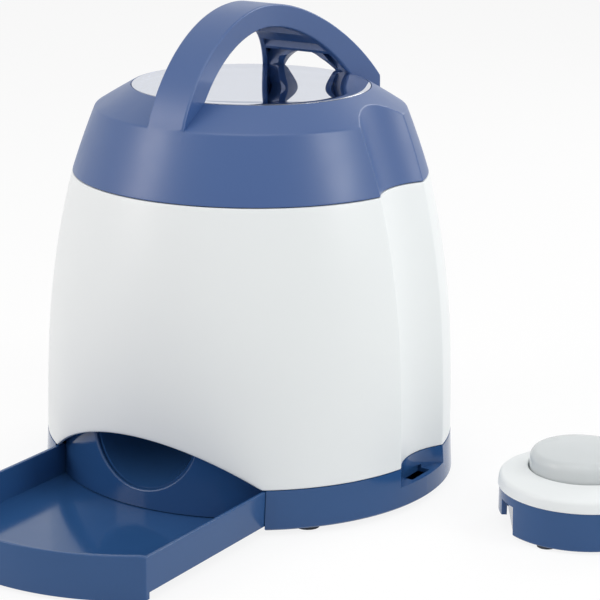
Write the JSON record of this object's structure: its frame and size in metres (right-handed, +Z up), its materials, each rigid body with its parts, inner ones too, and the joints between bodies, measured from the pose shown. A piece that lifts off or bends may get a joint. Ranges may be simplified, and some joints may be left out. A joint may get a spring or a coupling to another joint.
{
  "type": "dog puzzle toy",
  "caption": "Round battery treat dispenser for dogs, with a lift-off handled cover, a pull-out feed tray and a separate round paw button that docks in its side.",
  "frame": {"origin": "on the floor, under the middle of the dispenser", "axes": "+Z up, -Y to the front where the tray pulls out, +X to the side where the button docks"},
  "size_m": [0.3275, 0.3064, 0.2401],
  "materials": {
    "white_plastic": "satin",
    "blue_plastic": "satin",
    "deep_blue_plastic": "gloss",
    "clear_plastic": "clear gloss",
    "frosted_plastic": "frosted",
    "inner_plastic": "matte",
    "gear_plastic": "satin",
    "steel": "bright",
    "cell_sleeve": "gloss",
    "rubber": "matte",
    "circuit_board": "satin",
    "black_plastic": "matte"
  },
  "bodies": {
    "dispenser": {"base_pan": "deep_blue_plastic", "feet": "rubber", "shell_screws": "steel", "body_shell": "white_plastic", "chute_panel": "deep_blue_plastic", "food_chute": "deep_blue_plastic", "metering_plate": "inner_plastic", "hopper": "inner_plastic", "pocket_guard": "inner_plastic", "idler_pin": "steel", "gear_plate": "inner_plastic", "gear_plate_screws": "steel", "motor": "steel", "battery_box": "inner_plastic", "battery_cells": "cell_sleeve", "battery_contacts": "steel", "battery_door": "deep_blue_plastic", "battery_door_screw": "steel", "control_board": "circuit_board", "board_parts": "black_plastic", "buzzer": "black_plastic", "switch_body": "black_plastic"},
    "tray": {"feed_tray": "deep_blue_plastic"},
    "cover": {"collar_handle": "blue_plastic", "window": "clear_plastic", "cover_seal": "rubber"},
    "wheel": {"dosing_wheel": "inner_plastic", "wheel_gear": "gear_plastic"},
    "idler": {"idler_gear": "gear_plastic"},
    "pinion": {"motor_pinion": "gear_plastic", "motor_shaft": "steel"},
    "switch": {"power_switch": "black_plastic"},
    "button_unit": {"button_base": "deep_blue_plastic", "button_ring": "white_plastic", "button_board": "circuit_board", "tact_switch": "black_plastic", "button_cells": "cell_sleeve", "button_contacts": "steel", "button_feet": "rubber", "button_screws": "steel", "button_door": "deep_blue_plastic", "button_door_screw": "steel", "button_spring": "steel"},
    "button": {"paw_button": "frosted_plastic"}
  },
  "joints": [
    {"name": "tray_slide", "type": "slide", "parent": "dispenser", "child": "tray", "axis": [0, 1, 0], "range_m": [0, 0.096]},
    {"name": "cover_lift", "type": "slide", "parent": "dispenser", "child": "cover", "axis": [0, 0, 1], "range_m": [0, 0.08]},
    {"name": "wheel_spin", "type": "hinge", "parent": "dispenser", "child": "wheel", "pos_m": [0, 0, 0.1], "axis": [0, 0, 1], "continuous": true},
    {"name": "idler_spin", "type": "hinge", "parent": "dispenser", "child": "idler", "pos_m": [0, 0.018, 0.08], "axis": [0, 0, 1], "continuous": true},
    {"name": "pinion_spin", "type": "hinge", "parent": "dispenser", "child": "pinion", "pos_m": [0, 0.045, 0.08], "axis": [0, 0, 1], "continuous": true},
    {"name": "switch_slide", "type": "slide", "parent": "dispenser", "child": "switch", "axis": [1, 0, 0], "range_m": [0, 0.004]},
    {"name": "unit_lift", "type": "slide", "parent": "dispenser", "child": "button_unit", "axis": [0, 0, 1], "range_m": [0, 0.06]},
    {"name": "button_press", "type": "slide", "parent": "button_unit", "child": "button", "axis": [0, 0, -1], "range_m": [0, 0.003], "stiffness_N_per_m": 1500, "springref_m": -0.003, "deforming": ["button_spring"]}
  ],
  "couplings": [
    {"joint": "idler_spin", "follows": "wheel_spin", "ratio": -2},
    {"joint": "pinion_spin", "follows": "wheel_spin", "ratio": 8.8}
  ]
}
